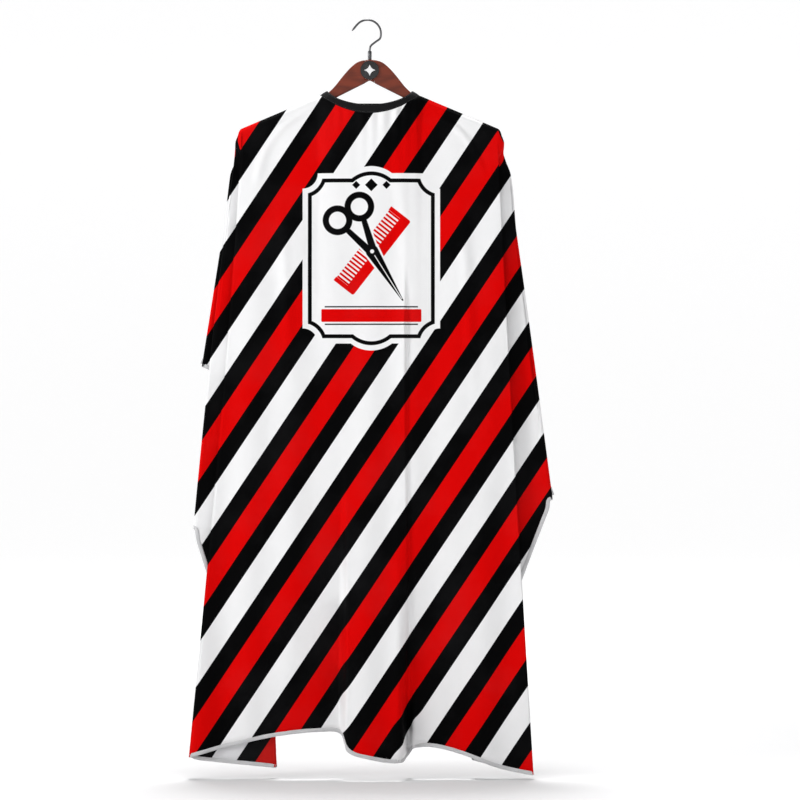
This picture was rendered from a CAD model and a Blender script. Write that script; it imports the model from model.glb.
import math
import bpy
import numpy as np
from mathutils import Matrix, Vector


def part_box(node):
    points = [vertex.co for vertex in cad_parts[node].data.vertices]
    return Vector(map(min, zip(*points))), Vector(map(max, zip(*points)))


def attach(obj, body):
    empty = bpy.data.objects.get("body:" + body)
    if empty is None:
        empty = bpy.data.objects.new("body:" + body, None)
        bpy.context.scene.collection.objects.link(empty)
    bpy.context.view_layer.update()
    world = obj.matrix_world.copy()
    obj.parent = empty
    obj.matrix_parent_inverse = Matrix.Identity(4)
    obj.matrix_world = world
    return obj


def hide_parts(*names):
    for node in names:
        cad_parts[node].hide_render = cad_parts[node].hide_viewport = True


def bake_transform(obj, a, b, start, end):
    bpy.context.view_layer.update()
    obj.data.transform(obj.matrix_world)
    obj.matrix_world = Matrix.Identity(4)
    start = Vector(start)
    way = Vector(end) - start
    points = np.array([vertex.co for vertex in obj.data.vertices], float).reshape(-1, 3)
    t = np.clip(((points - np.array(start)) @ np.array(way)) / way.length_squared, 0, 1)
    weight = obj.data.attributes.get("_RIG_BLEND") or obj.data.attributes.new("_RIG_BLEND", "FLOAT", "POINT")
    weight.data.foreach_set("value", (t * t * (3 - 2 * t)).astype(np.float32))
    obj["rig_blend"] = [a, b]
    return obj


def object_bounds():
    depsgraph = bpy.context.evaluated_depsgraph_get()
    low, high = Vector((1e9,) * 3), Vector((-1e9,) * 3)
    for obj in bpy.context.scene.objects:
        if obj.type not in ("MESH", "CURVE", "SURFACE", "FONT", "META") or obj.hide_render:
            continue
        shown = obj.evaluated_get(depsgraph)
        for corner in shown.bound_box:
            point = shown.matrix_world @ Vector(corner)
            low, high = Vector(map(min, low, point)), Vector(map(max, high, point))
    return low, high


bl_info = {
    "name": "Barber Cape on a Hanger",
    "version": (1, 0, 0),
    "blender": (4, 5, 0),
    "location": "3D View > Sidebar > Cape",
    "description": "Builds a striped barber's cape hanging on a wooden hanger",
    "category": "Add Mesh",
}

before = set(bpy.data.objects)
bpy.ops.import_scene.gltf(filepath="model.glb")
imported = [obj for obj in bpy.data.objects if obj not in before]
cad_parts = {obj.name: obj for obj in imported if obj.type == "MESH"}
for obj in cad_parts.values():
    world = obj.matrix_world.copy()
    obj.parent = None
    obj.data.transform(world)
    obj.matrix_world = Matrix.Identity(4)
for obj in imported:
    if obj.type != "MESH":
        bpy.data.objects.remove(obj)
CAD_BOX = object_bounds()

import bmesh
import bpy
import numpy as np
from bpy.props import FloatProperty, FloatVectorProperty, IntProperty, PointerProperty
from mathutils import Vector

MM = 0.001

# ---- places taken from the frame, in metres ---------------------------------------------------
ARM_LOW, ARM_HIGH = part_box("hanger_arm_right")
BAND_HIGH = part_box("neckband")[1]
FRONT_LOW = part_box("cape_front")[0]
TAB_LOW, TAB_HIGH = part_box("nape_tab")
FERRULE_LOW, FERRULE_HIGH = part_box("hook_ferrule")
BADGE_LOW, BADGE_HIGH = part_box("badge_disc")

HANGER_HALF = ARM_HIGH.x
ARM_HALF = (ARM_HIGH.y - ARM_LOW.y) / 2
CROWN_Z = ARM_HIGH.z
CORNER_X = HANGER_HALF - 1 * MM
NECK_HALF = BAND_HIGH.x - 0.4 * MM
SHOULDER_X = 80 * MM
SHOULDER_Z = CROWN_Z - 63 * MM
SHOULDER_SLOPE = 0.4225
NECK_SLOPE = 0.8333
LIFT = 3.8 * MM  # middle of the cloth above the wood
CLOTH_HALF_DEPTH = ARM_HALF + 3.5 * MM
NECK_FRONT = 26 * MM
NECK_BACK = 30 * MM
NECK_DIP = 24.5 * MM
CAPE_LENGTH = -FRONT_LOW.z - 45 * MM


def clamp(t):
    return min(1.0, max(0.0, t))


def lerp(a, b, t):
    return a + (b - a) * t


def smooth(a, b, x):
    t = clamp((x - a) / (b - a))
    return t * t * (3 - 2 * t)


def bump(x, middle, width):
    return math.exp(-(((x - middle) / width) ** 2))


def along(points, x):
    """Height at x on a smooth line through points given from left to right."""
    if x <= points[0][0]:
        return points[0][1]
    if x >= points[-1][0]:
        return points[-1][1]
    i = 0
    while x > points[i + 1][0]:
        i += 1
    (x0, y0), (x1, y1) = points[i], points[i + 1]

    def slope(j):
        a, b = points[max(0, j - 1)], points[min(len(points) - 1, j + 1)]
        return (b[1] - a[1]) / (b[0] - a[0])

    h, t = x1 - x0, (x - x0) / (x1 - x0)
    return (
        y0 * (2 * t**3 - 3 * t**2 + 1)
        + slope(i) * h * (t**3 - 2 * t**2 + t)
        + y1 * (3 * t**2 - 2 * t**3)
        + slope(i + 1) * h * (t**3 - t**2)
    )


def arm_top(x):
    out = abs(x) - SHOULDER_X
    return SHOULDER_Z - (NECK_SLOPE if out < 0 else SHOULDER_SLOPE) * out


def ridge(x):
    return arm_top(x) + LIFT


CORNER_Z = ridge(CORNER_X)
NECK_Z = ridge(NECK_HALF)


def neckline(x, behind=False):
    """Height of the cloth's neck edge, which sags lower in front than behind."""
    dip = NECK_DIP if behind else NECK_DIP + 6 * MM
    return NECK_Z - dip * (1 - (x / NECK_HALF) ** 2)


def top_line(x, behind=False):
    return neckline(x, behind) if abs(x) < NECK_HALF else ridge(x)


# ---- the cape's lines of fold, as distances from the middle at a height -------------------------
LEFT_TIP_Z = -CAPE_LENGTH + 658 * MM
LEFT_FLAP_Z = -CAPE_LENGTH + 379 * MM
RIGHT_FLAP_Z = -CAPE_LENGTH + 429 * MM


def drop_share(z, low, most=1.0):
    return min(most, max(0.0, (CORNER_Z - z) / (CORNER_Z - low)))


def left_edge(z):
    return CORNER_X - 2 * MM + 90 * MM * drop_share(z, -CAPE_LENGTH - 15 * MM) ** 1.2


def right_edge(z):
    return CORNER_X - 3 * MM + 62 * MM * drop_share(z, -CAPE_LENGTH - 45 * MM) ** 1.1


def swell(z, first, last):
    """1 at once below the arm's end, then fading out between two falls."""
    fall = (CORNER_Z - z) / MM
    return smooth(5, 40, fall) * (1 - smooth(first, last, fall))


def left_tip_contour(z):
    return CORNER_X + 64 * MM * drop_share(z, LEFT_TIP_Z, 1.3) + (4 + 3 * swell(z, 60, 180)) * MM


def left_flap_contour(z):
    return CORNER_X + 82 * MM * drop_share(z, LEFT_FLAP_Z) ** 0.80


def right_flap_contour(z):
    return CORNER_X + (3 + 90 * drop_share(z, RIGHT_FLAP_Z) ** 0.92 + 5 * swell(z, 90, 180)) * MM


# Drop of the front hem below CAPE_LENGTH, by the share of the way from the middle to each edge.
HEM_LEFT = [(0, 15), (0.12, 2), (0.145, -24), (0.28, -30), (0.53, -22), (0.8, -3), (1, 14)]
HEM_RIGHT = [(0, 15), (0.13, 21), (0.22, 17), (0.28, -1), (0.4, -3), (0.6, 12), (0.8, 33), (1, 45)]


def hem_drop(f):
    return (along(HEM_LEFT, -f) if f < 0 else along(HEM_RIGHT, f)) * MM


# ---- expressions for shader trees ---------------------------------------------------------------
class Value:
    """A number that varies over a surface: arithmetic on it adds Math nodes to its tree."""

    def __init__(self, tree, socket):
        self.tree = tree
        self.socket = socket

    def math(self, operation, *others, clamped=False):
        node = self.tree.add("ShaderNodeMath", {"operation": operation, "use_clamp": clamped})
        for i, value in enumerate((self, *others)):
            self.tree.feed(node.inputs[i], value)
        return Value(self.tree, node.outputs[0])

    def __add__(self, other):
        return self.math("ADD", other)

    __radd__ = __add__

    def __sub__(self, other):
        return self.math("SUBTRACT", other)

    def __rsub__(self, other):
        return (self * -1.0) + other

    def __mul__(self, other):
        return self.math("MULTIPLY", other)

    __rmul__ = __mul__

    def __truediv__(self, other):
        return self.math("DIVIDE", other)

    def __rtruediv__(self, other):
        return (self**-1.0) * other

    def __pow__(self, other):
        return self.math("POWER", other)

    def __abs__(self):
        return self.math("ABSOLUTE")

    def sin(self):
        return self.math("SINE")

    def root(self):
        return self.math("SQRT")

    def fraction(self):
        return self.math("FRACT")

    def lowest(self, other):
        return self.math("MINIMUM", other)

    def highest(self, other):
        return self.math("MAXIMUM", other)

    def clamped(self):
        return self.math("ADD", 0.0, clamped=True)

    def inside(self, soft):
        """1 where this distance is below nought, fading over the width soft."""
        return (0.5 - self / soft).clamped()


class Tree:
    """A material's node tree, and the one way that nodes are added to it."""

    def __init__(self, name):
        self.material = bpy.data.materials.new(name)
        self.material.use_nodes = True
        self.nodes = self.material.node_tree.nodes
        self.links = self.material.node_tree.links
        self.shader = self.nodes["Principled BSDF"]

    def feed(self, socket, value):
        if isinstance(value, Value):
            self.links.new(value.socket, socket)
        elif isinstance(value, bpy.types.NodeSocket):
            self.links.new(value, socket)
        elif socket.type == "RGBA":
            socket.default_value = (*value, 1.0)[:4]
        else:
            socket.default_value = value

    def add(self, kind, settings=None, **sockets):
        """Adds a node: its settings first, then values or links by the names of its sockets."""
        node = self.nodes.new(kind)
        for name, value in (settings or {}).items():
            setattr(node, name, value)
        for name, value in sockets.items():
            self.feed(node.inputs[name.replace("_", " ")], value)
        return node

    def finish(self, **sockets):
        for name, value in sockets.items():
            self.feed(self.shader.inputs[name.replace("_", " ")], value)
        return self.material

    def place(self, scale=(1, 1, 1), turn=(0, 0, 0), move=(0, 0, 0)):
        """Object coordinates, moved, turned and scaled."""
        coordinates = self.add("ShaderNodeTexCoord").outputs["Object"]
        mapping = self.add("ShaderNodeMapping", {"vector_type": "POINT"}, Vector=coordinates)
        mapping.inputs["Location"].default_value = move
        mapping.inputs["Rotation"].default_value = turn
        mapping.inputs["Scale"].default_value = scale
        return mapping.outputs[0]

    def noise(self, vector, scale, detail=3.0, rough=0.5):
        node = self.add("ShaderNodeTexNoise", None, Vector=vector, Scale=scale, Detail=detail)
        node.inputs["Roughness"].default_value = rough
        return Value(self, node.outputs["Fac"])

    def mix(self, factor, a, b):
        node = self.add("ShaderNodeMix", {"data_type": "RGBA"})
        self.feed(node.inputs["Factor"], factor)
        self.feed(node.inputs[6], a)
        self.feed(node.inputs[7], b)
        return node.outputs[2]

    def bumped(self, height, strength, distance):
        node = self.add("ShaderNodeBump", None, Height=height, Strength=strength, Distance=distance)
        return node.outputs["Normal"]

    def split(self, vector):
        node = self.add("ShaderNodeSeparateXYZ", None, Vector=vector)
        return [Value(self, node.outputs[k]) for k in range(3)]


# ---- settings -----------------------------------------------------------------------------------
def colour_setting(name, text, default):
    return FloatVectorProperty(
        name=name, description=text, subtype="COLOR", size=3, min=0, max=1, default=default
    )


def length_setting(name, text, default):
    return FloatProperty(
        name=name, description=text, unit="LENGTH", subtype="DISTANCE",
        min=0, precision=4, default=default,
    )


class CapeSettings(bpy.types.PropertyGroup):
    red: colour_setting("Red", "Red of the stripes", (0.66, 0.001, 0.001))
    black: colour_setting("Black", "Black of the stripes", (0.0014, 0.0014, 0.0016))
    white: colour_setting("White", "White of the stripes", (0.84, 0.84, 0.845))
    period: length_setting("Stripe repeat", "Level distance between two white stripes", 153.4 * MM)
    slope: FloatProperty(
        name="Stripe slope", description="Level run of a stripe for each unit of rise", default=0.667
    )
    cloth: length_setting("Cloth", "Thickness of the cloth", 0.5 * MM)
    pleat_gap: length_setting("Layer gap", "Between the layers of the side pleats", 8 * MM)
    wave: length_setting("Hem fold", "How far the middle of the hem stands forward", 24 * MM)
    front_columns: IntProperty(
        name="Front columns", description="Faces across the front", default=132, min=20
    )
    rows: IntProperty(name="Rows", description="Faces from shoulder to hem", default=120, min=20)
    spare: FloatProperty(
        name="Spare cloth", description="Cloth beyond the smooth shape, as a share", default=0.012
    )


class TrimSettings(bpy.types.PropertyGroup):
    hem_width: length_setting("Hem width", "Width of the overlocked edge", 7 * MM)
    hem_pitch: length_setting("Overlock pitch", "Between two overlock stitches", 3.4 * MM)
    thread: length_setting("Thread", "Radius of the sewing thread", 0.32 * MM)
    band_thick: length_setting("Band thickness", "Thickness of the neckband", 2.0 * MM)
    seam_pitch: length_setting("Seam pitch", "Between two topstitches", 3.2 * MM)


class HangerSettings(bpy.types.PropertyGroup):
    wood: colour_setting("Wood", "Stained wood", (0.20, 0.030, 0.010))
    wire: length_setting("Wire", "Radius of the hook's wire", 1.75 * MM)
    voxel: length_setting("Wood detail", "Size of the wood's surface faces", 0.8 * MM)


class StageSettings(bpy.types.PropertyGroup):
    paper: colour_setting("Paper", "Floor and backdrop", (0.34, 0.34, 0.343))
    glow: FloatProperty(
        name="Backdrop glow", description="Light given off by the far backdrop", default=0.72, min=0
    )
    floor_gap: length_setting("Floor gap", "Floor below the lowest hem", 8 * MM)
    distance: length_setting("Distance", "Camera in front of the cape", 6.0)
    view_width: length_setting("View width", "Width seen at the cape", 1.376)


# ---- meshes -------------------------------------------------------------------------------------
def placed(name, mesh):
    """An object of the scene that holds the mesh."""
    piece = bpy.data.objects.new(name, mesh)
    bpy.context.scene.collection.objects.link(piece)
    return piece


def new_object(name, vertices, faces, materials, smooth_faces=True):
    mesh = bpy.data.meshes.new(name)
    mesh.from_pydata([tuple(v) for v in vertices], [], faces)
    mesh.update()
    for material in materials:
        mesh.materials.append(material)
    if smooth_faces:
        mesh.shade_smooth()
    return placed(name, mesh)


def outward(piece):
    """Merges doubles and turns the faces of a closed mesh outwards."""
    work = bmesh.new()
    work.from_mesh(piece.data)
    bmesh.ops.remove_doubles(work, verts=work.verts, dist=1e-6)
    bmesh.ops.recalc_face_normals(work, faces=work.faces)
    work.to_mesh(piece.data)
    work.free()


def swept(name, rings, materials, closed=False):
    """A closed skin over a list of rings of points, capped at both ends unless closed on itself."""
    size = len(rings[0])
    vertices = [p for ring in rings for p in ring]
    faces = []
    count = len(rings)
    for i in range(count if closed else count - 1):
        a, b = i * size, ((i + 1) % count) * size
        for k in range(size):
            n = (k + 1) % size
            faces.append((a + k, a + n, b + n, b + k))
    if not closed:
        faces.append(tuple(range(size)))
        faces.append(tuple(range((count - 1) * size, count * size)))
    piece = new_object(name, vertices, faces, materials)
    outward(piece)
    return piece


def tube_rings(path, radius_at, sides):
    """Rings round a path, carried along it without twist."""
    rings = []
    normal = None
    for i, point in enumerate(path):
        ahead = path[min(i + 1, len(path) - 1)] - path[max(i - 1, 0)]
        ahead.normalize()
        if normal is None:
            normal = ahead.orthogonal().normalized()
        normal = (normal - ahead * normal.dot(ahead)).normalized()
        side = ahead.cross(normal)
        radius = radius_at(i / (len(path) - 1))
        turns = [2 * math.pi * k / sides for k in range(sides)]
        rings.append([point + (normal * math.cos(a) + side * math.sin(a)) * radius for a in turns])
    return rings


def turned(name, profile, centre, axis, materials, sides=40):
    """A piece turned on a lathe: profile points are (radius, height along axis)."""
    axis = Vector(axis).normalized()
    u = axis.orthogonal().normalized()
    w = axis.cross(u)
    work = bmesh.new()
    rows = []
    for radius, height in profile:
        base = Vector(centre) + axis * height
        if radius < 1e-7:
            rows.append([work.verts.new(base)])
            continue
        row = []
        for k in range(sides):
            a = 2 * math.pi * k / sides
            row.append(work.verts.new(base + (u * math.cos(a) + w * math.sin(a)) * radius))
        rows.append(row)
    for a, b in zip(rows, rows[1:]):
        for k in range(sides):
            n = (k + 1) % sides
            corners = [a[k % len(a)], a[n % len(a)], b[n % len(b)], b[k % len(b)]]
            face = list(dict.fromkeys(corners))
            if len(face) > 2:
                work.faces.new(face)
    bmesh.ops.remove_doubles(work, verts=work.verts, dist=1e-7)
    bmesh.ops.recalc_face_normals(work, faces=work.faces)
    mesh = bpy.data.meshes.new(name)
    work.to_mesh(mesh)
    work.free()
    for material in materials:
        mesh.materials.append(material)
    mesh.shade_smooth()
    return placed(name, mesh)


def creased(piece, degrees=35):
    """Sharp edges where faces meet at more than the angle, on an otherwise smooth mesh."""
    piece.data.set_sharp_from_angle(angle=math.radians(degrees))


# ---- repeated stitches by Geometry Nodes ----------------------------------------------------------
def stitch_tree(name, material, sides):
    """A stitch bent over its middle, set on every point along "lie", standing along "rise"."""
    tree = bpy.data.node_groups.new(name, "GeometryNodeTree")
    face = tree.interface
    face.new_socket("Geometry", in_out="INPUT", socket_type="NodeSocketGeometry")
    for title, value in (("Length", 3 * MM), ("Rise", 0.5 * MM), ("Thread", 0.3 * MM)):
        socket = face.new_socket(title, in_out="INPUT", socket_type="NodeSocketFloat")
        socket.default_value = value
    face.new_socket("Geometry", in_out="OUTPUT", socket_type="NodeSocketGeometry")

    def add(kind, settings=None, **links):
        node = tree.nodes.new(kind)
        for key, value in (settings or {}).items():
            setattr(node, key, value)
        for key, value in links.items():
            socket = node.inputs[key.replace("_", " ")]
            if isinstance(value, bpy.types.NodeSocket):
                tree.links.new(value, socket)
            else:
                socket.default_value = value
        return node

    given = add("NodeGroupInput")
    half = add("ShaderNodeMath", {"operation": "MULTIPLY"})
    tree.links.new(given.outputs["Length"], half.inputs[0])
    half.inputs[1].default_value = 0.5
    back = add("ShaderNodeMath", {"operation": "MULTIPLY"})
    tree.links.new(given.outputs["Length"], back.inputs[0])
    back.inputs[1].default_value = -0.5
    start = add("ShaderNodeCombineXYZ", X=back.outputs[0])
    end = add("ShaderNodeCombineXYZ", X=half.outputs[0])
    middle = add("ShaderNodeCombineXYZ", Z=given.outputs["Rise"])
    arc = add("GeometryNodeCurveQuadraticBezier", Resolution=5, Start=start.outputs[0],
              Middle=middle.outputs[0], End=end.outputs[0])
    ring = add("GeometryNodeCurvePrimitiveCircle", Resolution=sides, Radius=given.outputs["Thread"])
    thread = add("GeometryNodeCurveToMesh", Curve=arc.outputs[0], Profile_Curve=ring.outputs[0])
    thread.inputs["Fill Caps"].default_value = True
    lie = add("GeometryNodeInputNamedAttribute", {"data_type": "FLOAT_VECTOR"}, Name="lie")
    rise = add("GeometryNodeInputNamedAttribute", {"data_type": "FLOAT_VECTOR"}, Name="rise")
    turn = add("FunctionNodeAxesToRotation", {"primary_axis": "X", "secondary_axis": "Z"})
    tree.links.new(lie.outputs[0], turn.inputs[0])
    tree.links.new(rise.outputs[0], turn.inputs[1])
    points = add("GeometryNodeInstanceOnPoints", Points=given.outputs["Geometry"],
                 Instance=thread.outputs[0], Rotation=turn.outputs[0])
    real = add("GeometryNodeRealizeInstances", Geometry=points.outputs[0])
    soft = add("GeometryNodeSetShadeSmooth", Geometry=real.outputs[0])
    painted = add("GeometryNodeSetMaterial", Geometry=soft.outputs[0], Material=material)
    result = add("NodeGroupOutput")
    tree.links.new(painted.outputs[0], result.inputs[0])
    return tree


def stitched(name, places, length, rise, thread, material, sides=6):
    """A plain mesh of stitches at places, each (point, direction, up)."""
    mesh = bpy.data.meshes.new(name + "_points")
    mesh.from_pydata([tuple(p) for p, _, _ in places], [], [])
    for key, index in (("lie", 1), ("rise", 2)):
        attribute = mesh.attributes.new(key, "FLOAT_VECTOR", "POINT")
        attribute.data.foreach_set("vector", [c for place in places for c in place[index]])
    seed = bpy.data.objects.new(name + "_points", mesh)
    bpy.context.scene.collection.objects.link(seed)
    modifier = seed.modifiers.new("stitches", "NODES")
    modifier.node_group = stitch_tree(name + "_tree", material, sides)
    for item in modifier.node_group.interface.items_tree:
        if item.in_out == "INPUT" and item.name in ("Length", "Rise", "Thread"):
            modifier[item.identifier] = {"Length": length, "Rise": rise, "Thread": thread}[item.name]
    bpy.context.view_layer.update()
    evaluated = seed.evaluated_get(bpy.context.evaluated_depsgraph_get())
    made = bpy.data.meshes.new_from_object(evaluated)
    bpy.data.objects.remove(seed)
    made.name = name
    for attribute in [a.name for a in made.attributes if a.name in ("lie", "rise")]:
        made.attributes.remove(made.attributes[attribute])
    return placed(name, made)


# ---- cloth materials ------------------------------------------------------------------------------
def length_of(x, y):
    return (x * x + y * y).root()


def disc(x, y, cx, cy, radius):
    return length_of(x - cx, y - cy) - radius


def bar(x, y, ax, ay, bx, by, radius_a, radius_b=None):
    """Distance from a straight bar with round ends, whose radius may change along it."""
    radius_b = radius_a if radius_b is None else radius_b
    dx, dy = bx - ax, by - ay
    run = ((x - ax) * (dx / (dx * dx + dy * dy)) + (y - ay) * (dy / (dx * dx + dy * dy))).clamped()
    return length_of(x - ax - run * dx, y - ay - run * dy) - (radius_a + run * (radius_b - radius_a))


def block(x, y, half_x, half_y, corner=0.0):
    """Distance from an upright rectangle about the origin, with round corners."""
    dx = abs(x) - (half_x - corner)
    dy = abs(y) - (half_y - corner)
    outer = length_of(dx.highest(0.0), dy.highest(0.0))
    return outer + dx.highest(dy).lowest(0.0) - corner


def turned_about(x, y, cx, cy, degrees):
    c, s = math.cos(math.radians(degrees)), math.sin(math.radians(degrees))
    return (x - cx) * c + (y - cy) * s, (y - cy) * c - (x - cx) * s


PLAQUE_X = 2.8 * MM
PLAQUE_Z = -409 * MM
PLAQUE_HALF_WIDTH = 118 * MM
PLAQUE_HALF_HEIGHT = 160 * MM
PRINT_SOFT = 0.7 * MM


def plaque_outline(x, y, inset):
    """A tall panel with scooped corners and a low bow at the head and foot."""
    panel = block(x, y, PLAQUE_HALF_WIDTH - inset, PLAQUE_HALF_HEIGHT - 14 * MM - inset)
    bow = disc(x, abs(y), 0.0, PLAQUE_HALF_HEIGHT - 60 * MM - inset * 0.5, 58 * MM - inset * 0.5)
    panel = panel.lowest(bow)
    scoop = disc(abs(x), abs(y), PLAQUE_HALF_WIDTH, PLAQUE_HALF_HEIGHT - 14 * MM, 26 * MM + inset)
    return panel.highest(scoop * -1.0)


def comb_mask(x, y):
    """A straight comb: a back, two end teeth and a row of fine teeth."""
    back = block(x - 11 * MM, y, 7 * MM, 62 * MM, 3 * MM)
    pitch = 5.2 * MM
    tooth = abs((y / pitch).fraction() - 0.5) * pitch - 1.5 * MM
    row = block(x + 4 * MM, y, 10 * MM, 58 * MM)
    teeth = tooth.highest(row)
    ends = block(x + 4 * MM, abs(y) - 59 * MM, 11 * MM, 3 * MM, 1 * MM)
    return back.lowest(teeth).lowest(ends)


def scissors_mask(x, y):
    """Closed scissors standing point down: two blades, a pivot, two shanks and two bows."""
    side = abs(x)
    blades = bar(x, y, 0, -78 * MM, 0, -2 * MM, 1 * MM, 8.5 * MM)
    shank = bar(side, y, 2 * MM, -2 * MM, 13 * MM, 40 * MM, 5 * MM, 3.6 * MM)
    bow = abs(disc(side, y, 17 * MM, 57 * MM, 15.5 * MM)) - 4.2 * MM
    pivot = disc(x, y, 0, -2 * MM, 2.6 * MM)
    slit = block(x, y + 42 * MM, 0.5 * MM, 34 * MM)
    return blades.lowest(shank).lowest(bow).highest(pivot * -1.0).highest(slit * -1.0)


def cloth_material(name, settings, face_side):
    """The printed cloth; its wrong side shows the print paler, as it comes through."""
    tree = Tree(name)
    flat = tree.add("ShaderNodeUVMap", {"uv_map": "cut"}).outputs[0]
    u, v, _ = tree.split(flat)
    stripe = ((u - v * settings.slope) / settings.period + 0.2618).fraction()
    soft = PRINT_SOFT / settings.period
    white = (abs(stripe - 0.1477) - 0.1477).inside(soft) + (stripe * -1.0 + 1.0).inside(soft)
    red = (abs(stripe - 0.650) - 0.132).inside(soft)
    ink, pale, dark = tuple(settings.red), tuple(settings.white), tuple(settings.black)
    if not face_side:
        ink, dark, pale = (0.50, 0.012, 0.010), (0.006, 0.006, 0.0065), (0.70, 0.70, 0.715)
    colour = tree.mix(white.clamped(), dark, pale)
    colour = tree.mix(red, colour, ink)
    x, y = u - PLAQUE_X, v - PLAQUE_Z
    colour = tree.mix(plaque_outline(x, y, 0).inside(PRINT_SOFT), colour, pale)
    line = abs(plaque_outline(x, y, 9 * MM) + 3.4 * MM) - 3.4 * MM
    colour = tree.mix(line.inside(PRINT_SOFT), colour, dark)
    cx, cy = turned_about(x / 1.3, y / 1.3, 0, 11 * MM, -38)
    colour = tree.mix(comb_mask(cx, cy).inside(PRINT_SOFT), colour, ink)
    sx, sy = turned_about(x / 1.3, y / 1.3, 0, 11 * MM, 32)
    halo = (scissors_mask(sx, sy) - 2.4 * MM).inside(PRINT_SOFT)
    colour = tree.mix(halo, colour, pale)
    colour = tree.mix(scissors_mask(sx, sy).inside(PRINT_SOFT), colour, dark)
    band = block(x, y + 98 * MM, 86 * MM, 11 * MM, 2 * MM)
    colour = tree.mix(band.inside(PRINT_SOFT), colour, ink)
    rule = block(x, abs(y + 98 * MM) - 15 * MM, 80 * MM, 1.2 * MM)
    colour = tree.mix(rule.inside(PRINT_SOFT), colour, dark)
    gem = (abs(abs(x) - 26 * MM) + abs(y - 126 * MM)) - 7 * MM
    gem = gem.lowest(abs(x) + abs(y - 126 * MM) - 11 * MM)
    colour = tree.mix(gem.inside(PRINT_SOFT), colour, dark)
    # slight unevenness of the dye, and a plain weave with a soft cockle
    place = tree.place()
    cloudy = tree.noise(place, 9.0, 4.0, 0.6)
    colour = tree.mix((cloudy - 0.45).clamped() * 0.12, colour, (0.12, 0.12, 0.13))
    thread = 2 * math.pi / (0.75 * MM)
    weave = (u * thread).sin() * (v * thread).sin()
    cockle = tree.noise(place, 60.0, 3.0, 0.55)
    slub = tree.noise(tree.place((1, 1, 0.06)), 900.0, 2.0)
    height = weave * 0.25 + slub * 0.35 + cockle * 3.0
    normal = tree.bumped(height, 0.22, 0.35 * MM)
    rough = cloudy * 0.16 + slub * 0.08 + (0.50 if face_side else 0.62)
    tree.shader.inputs["Sheen Weight"].default_value = 0.002
    tree.shader.inputs["Sheen Roughness"].default_value = 0.35
    tree.shader.inputs["Specular IOR Level"].default_value = 0.02
    return tree.finish(Base_Color=colour, Roughness=rough, Normal=normal)


def thread_material(name, colour, sheen=0.2):
    tree = Tree(name)
    place = tree.place()
    fibre = tree.noise(place, 2600.0, 2.0)
    tone = tree.noise(place, 40.0, 2.0)
    shade = tuple(c * 0.55 for c in colour)
    tree.shader.inputs["Sheen Weight"].default_value = sheen
    return tree.finish(
        Base_Color=tree.mix(tone * 0.5, colour, shade),
        Roughness=fibre * 0.2 + 0.5,
        Normal=tree.bumped(fibre, 0.4, 0.1 * MM),
    )


def band_material(name):
    """Close black knit with fine ribs across the band."""
    tree = Tree(name)
    place = tree.place()
    x, y, z = tree.split(place)
    rib = (x * (2 * math.pi / (1.3 * MM))).sin() * 0.5 + 0.5
    fuzz = tree.noise(place, 700.0, 3.0)
    colour = tree.mix(rib * 0.5 + fuzz * 0.3, (0.0025, 0.0025, 0.003), (0.013, 0.013, 0.014))
    tree.shader.inputs["Sheen Weight"].default_value = 0.02
    tree.shader.inputs["Specular IOR Level"].default_value = 0.1
    return tree.finish(
        Base_Color=colour,
        Roughness=fuzz * 0.2 + 0.62,
        Normal=tree.bumped(rib + fuzz * 0.6, 0.35, 0.15 * MM),
    )


# ---- hard materials -------------------------------------------------------------------------------
def wood_material(name, colour, side):
    """Stained close-grained wood under a satin lacquer; the grain runs out along the arm."""
    tree = Tree(name)
    slope = math.atan(SHOULDER_SLOPE) * side
    place = tree.place(turn=(0, slope, 0))
    _, y, z = tree.split(place)
    warp = tree.noise(tree.place((3, 14, 14), (0, slope, 0)), 4.0, 2.0)
    rings = ((z * 210.0 + y * 120.0 + warp * 9.0).sin() * 0.5 + 0.5) ** 1.6
    pores = tree.noise(tree.place((14, 420, 420), (0, slope, 0)), 1.6, 3.0, 0.65)
    streak = tree.noise(tree.place((5, 90, 90), (0, slope, 0)), 1.0, 4.0)
    dark = tuple(c * 0.42 for c in colour)
    light = tuple(min(1.0, c * 1.55) for c in colour)
    tone = tree.mix(rings * 0.55 + streak * 0.35, colour, dark)
    tone = tree.mix((streak - 0.52).clamped() * 1.6, tone, light)
    tone = tree.mix(((pores - 0.60) * 6.0).clamped() * 0.6, tone, tuple(c * 0.22 for c in colour))
    tree.shader.inputs["Coat Weight"].default_value = 0.12
    tree.shader.inputs["Coat Roughness"].default_value = 0.22
    tree.shader.inputs["Specular IOR Level"].default_value = 0.3
    return tree.finish(
        Base_Color=tone,
        Roughness=pores * 0.16 + 0.32,
        Normal=tree.bumped(pores * -0.6 + rings * -0.2, 0.25, 0.2 * MM),
    )


def metal_material(name, colour, rough, scratch=0.1):
    tree = Tree(name)
    place = tree.place()
    haze = tree.noise(place, 120.0, 4.0, 0.6)
    marks = tree.noise(tree.place((1, 1, 0.08)), 2400.0, 2.0)
    return tree.finish(
        Base_Color=tree.mix(haze * 0.35, colour, tuple(c * 0.7 for c in colour)),
        Metallic=1.0,
        Roughness=haze * scratch + marks * scratch * 0.5 + rough,
        Normal=tree.bumped(marks, 0.05, 0.05 * MM),
    )


def plastic_material(name, colour, rough):
    tree = Tree(name)
    place = tree.place()
    grain = tree.noise(place, 900.0, 3.0)
    dust = tree.noise(place, 90.0, 4.0, 0.65)
    return tree.finish(
        Base_Color=tree.mix((dust - 0.5).clamped() * 0.25, colour, (0.25, 0.25, 0.25)),
        Roughness=dust * 0.18 + rough,
        Normal=tree.bumped(grain, 0.06, 0.05 * MM),
    )


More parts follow.
